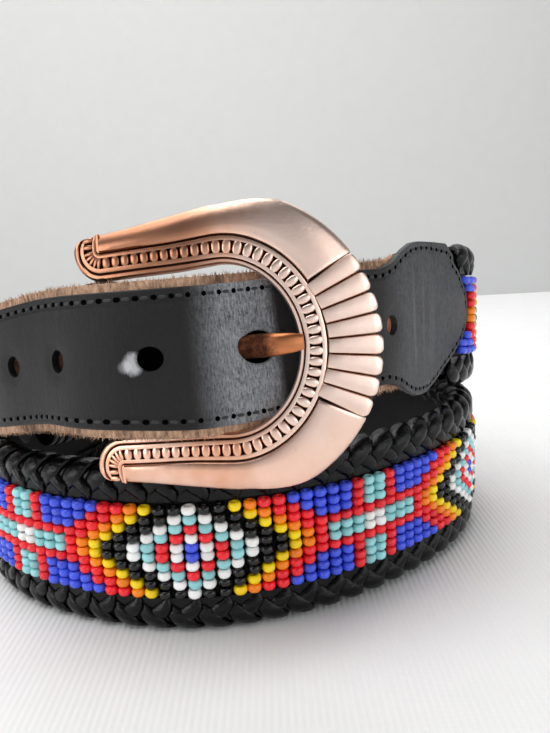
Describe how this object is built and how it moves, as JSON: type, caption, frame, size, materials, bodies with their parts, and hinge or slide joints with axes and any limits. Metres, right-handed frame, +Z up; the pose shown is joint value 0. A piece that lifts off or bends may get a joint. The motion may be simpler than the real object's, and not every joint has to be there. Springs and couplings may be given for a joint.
{
  "type": "beaded belt",
  "caption": "Beaded western belt with laced leather edges, scalloped billets and a fan-ended horseshoe buckle, buckled and wound into a standing coil.",
  "frame": {"origin": "bottom centre of the coil's bounding box, on the surface it stands on", "axes": "+Z up out of the coil, -Y towards the side with the buckle, +X from the buckle's bar towards its fan of rays"},
  "size_m": [0.1484, 0.1632, 0.0898],
  "materials": {
    "core_leather": "smooth black strap leather, satin",
    "bead_glass": "glossy opaque glass seed beads",
    "lace_leather": "glossy black leather lace",
    "billet_leather": "black grain leather, satin",
    "lining_leather": "raw brown leather, matt",
    "buckle_metal": "antiqued copper plate, polished",
    "prong_metal": "worn copper plate"
  },
  "bodies": {
    "root": {"core_strap": "core_leather", "bead_band": "bead_glass", "laced_edge_top": "lace_leather", "laced_edge_bottom": "lace_leather", "billet_face": "billet_leather", "billet_lining": "lining_leather", "buckle_strap": "billet_leather", "buckle_frame": "buckle_metal", "buckle_prong": "prong_metal"}
  },
  "joints": []
}
